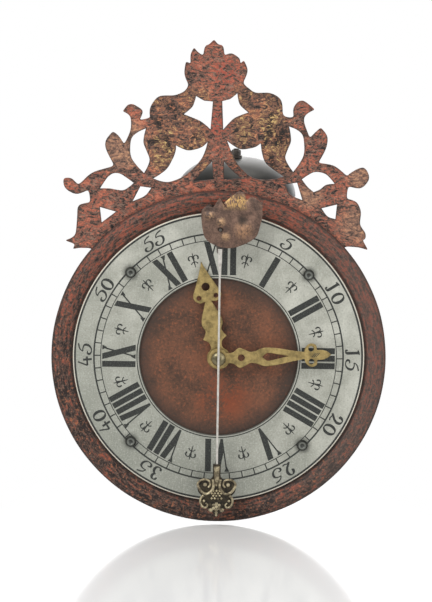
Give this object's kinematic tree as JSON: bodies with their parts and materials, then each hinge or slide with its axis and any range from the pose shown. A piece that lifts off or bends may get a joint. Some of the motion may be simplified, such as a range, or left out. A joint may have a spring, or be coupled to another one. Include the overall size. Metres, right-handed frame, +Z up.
{
  "type": "iron wall clock",
  "caption": "Wall clock: painted iron disc dial with pierced foliage crest, chapter ring, brass hands, front pendulum, bell and open verge movement with striking train.",
  "frame": {"origin": "centre of the hanging hoop's rear face, where it meets the wall", "axes": "+X right as seen from the front, +Y into the wall, +Z up"},
  "size_m": [0.25, 0.1342, 0.363],
  "materials": {
    "painted_iron": "worn red and gold paint on iron sheet",
    "pewter": "dull pewter",
    "dark_iron": "forged, dark",
    "bright_iron": "filed iron",
    "pale_steel": "bright wire",
    "brass": "aged brass",
    "copper": "chased copper with worn gilding",
    "bell_metal": "dark bell metal"
  },
  "bodies": {
    "clock": {"dial_plate": "painted_iron", "crest": "painted_iron", "chapter_ring": "pewter", "ring_screw_1": "dark_iron", "ring_screw_2": "dark_iron", "ring_screw_3": "dark_iron", "ring_screw_4": "dark_iron", "escutcheon": "copper", "escutcheon_post_left": "dark_iron", "escutcheon_post_right": "dark_iron", "top_plate": "dark_iron", "bottom_plate": "dark_iron", "post_back_left": "dark_iron", "post_back_right": "dark_iron", "post_front_left": "dark_iron", "post_front_right": "dark_iron", "back_bar": "dark_iron", "middle_bar": "dark_iron", "front_bar": "dark_iron", "upper_potence": "dark_iron", "lower_potence": "dark_iron", "hanging_hoop": "dark_iron", "wall_spur_left": "dark_iron", "wall_spur_right": "dark_iron", "bell": "bell_metal", "bell_post": "dark_iron", "bell_washer": "dark_iron", "bell_nut": "dark_iron", "minute_wheel_stud": "dark_iron", "count_wheel_stud": "dark_iron"},
    "minute": {"minute_pipe": "brass", "minute_hand": "brass"},
    "hour": {"hour_wheel": "brass", "hour_hand": "brass"},
    "motion": {"minute_wheel": "brass"},
    "going": {"going_arbor": "bright_iron", "going_wheel": "bright_iron", "hand_nut": "dark_iron"},
    "going_drum": {"going_pulley": "dark_iron"},
    "contrate": {"contrate_arbor": "bright_iron", "contrate_wheel": "brass"},
    "escape": {"escape_arbor": "bright_iron", "escape_wheel": "brass"},
    "pendulum": {"verge": "bright_iron", "pendulum_arm": "dark_iron", "pendulum_rod": "pale_steel", "pendulum_bob": "brass"},
    "strike": {"strike_arbor": "bright_iron", "strike_wheel": "bright_iron"},
    "strike_drum": {"strike_pulley": "dark_iron"},
    "hoop": {"hoop_arbor": "bright_iron", "hoop_wheel": "brass"},
    "fly": {"fly_arbor": "bright_iron", "fly_vane": "brass"},
    "count": {"count_wheel": "bright_iron"},
    "hammer": {"hammer": "dark_iron"},
    "lever": {"strike_lever": "dark_iron"}
  },
  "joints": [
    {"name": "minute_turn", "type": "hinge", "parent": "clock", "child": "minute", "pos_m": [0, -0.106, -0.1057], "axis": [0, 1, 0], "continuous": true},
    {"name": "hour_turn", "type": "hinge", "parent": "clock", "child": "hour", "pos_m": [0, -0.106, -0.1057], "axis": [0, 1, 0], "continuous": true},
    {"name": "motion_turn", "type": "hinge", "parent": "clock", "child": "motion", "pos_m": [0, -0.097, -0.0769], "axis": [0, 1, 0], "continuous": true},
    {"name": "escape_turn", "type": "hinge", "parent": "clock", "child": "escape", "pos_m": [0, -0.0745, -0.0357], "axis": [0, 0, 1], "continuous": true},
    {"name": "contrate_turn", "type": "hinge", "parent": "clock", "child": "contrate", "pos_m": [0, -0.0745, -0.0697], "axis": [0, 1, 0], "continuous": true},
    {"name": "going_turn", "type": "hinge", "parent": "clock", "child": "going", "pos_m": [0, -0.0745, -0.1057], "axis": [0, 1, 0], "continuous": true},
    {"name": "going_wind", "type": "hinge", "parent": "going", "child": "going_drum", "pos_m": [0, -0.0775, -0.1057], "axis": [0, 1, 0], "continuous": true},
    {"name": "pendulum_swing", "type": "hinge", "parent": "clock", "child": "pendulum", "pos_m": [0, -0.094, -0.0067], "axis": [0, 1, 0], "range_deg": [-22, 22]},
    {"name": "fly_turn", "type": "hinge", "parent": "clock", "child": "fly", "pos_m": [0, -0.0405, -0.05215], "axis": [0, 1, 0], "continuous": true},
    {"name": "hoop_turn", "type": "hinge", "parent": "clock", "child": "hoop", "pos_m": [0, -0.0405, -0.0742], "axis": [0, 1, 0], "continuous": true},
    {"name": "strike_turn", "type": "hinge", "parent": "clock", "child": "strike", "pos_m": [0, -0.0405, -0.1057], "axis": [0, 1, 0], "continuous": true},
    {"name": "count_turn", "type": "hinge", "parent": "clock", "child": "count", "pos_m": [0, -0.018, -0.0805], "axis": [0, 1, 0], "continuous": true},
    {"name": "strike_wind", "type": "hinge", "parent": "strike", "child": "strike_drum", "pos_m": [0, -0.0374, -0.1057], "axis": [0, 1, 0], "continuous": true},
    {"name": "hammer_swing", "type": "hinge", "parent": "clock", "child": "hammer", "pos_m": [0.041, -0.056, -0.0457], "axis": [0, 1, 0], "range_deg": [-12, 1], "stiffness_Nm_per_rad": 0.05},
    {"name": "lever_lift", "type": "hinge", "parent": "clock", "child": "lever", "pos_m": [-0.041, -0.056, -0.0457], "axis": [0, -1, 0], "range_deg": [0, 12]}
  ],
  "couplings": [
    {"joint": "hour_turn", "follows": "minute_turn", "ratio": 0.083333},
    {"joint": "motion_turn", "follows": "minute_turn", "ratio": -0.33333},
    {"joint": "contrate_turn", "follows": "escape_turn", "ratio": -0.1},
    {"joint": "going_turn", "follows": "escape_turn", "ratio": 0.0090909},
    {"joint": "hoop_turn", "follows": "fly_turn", "ratio": -0.16667},
    {"joint": "strike_turn", "follows": "fly_turn", "ratio": 0.025641},
    {"joint": "count_turn", "follows": "fly_turn", "ratio": -0.0042735}
  ]
}
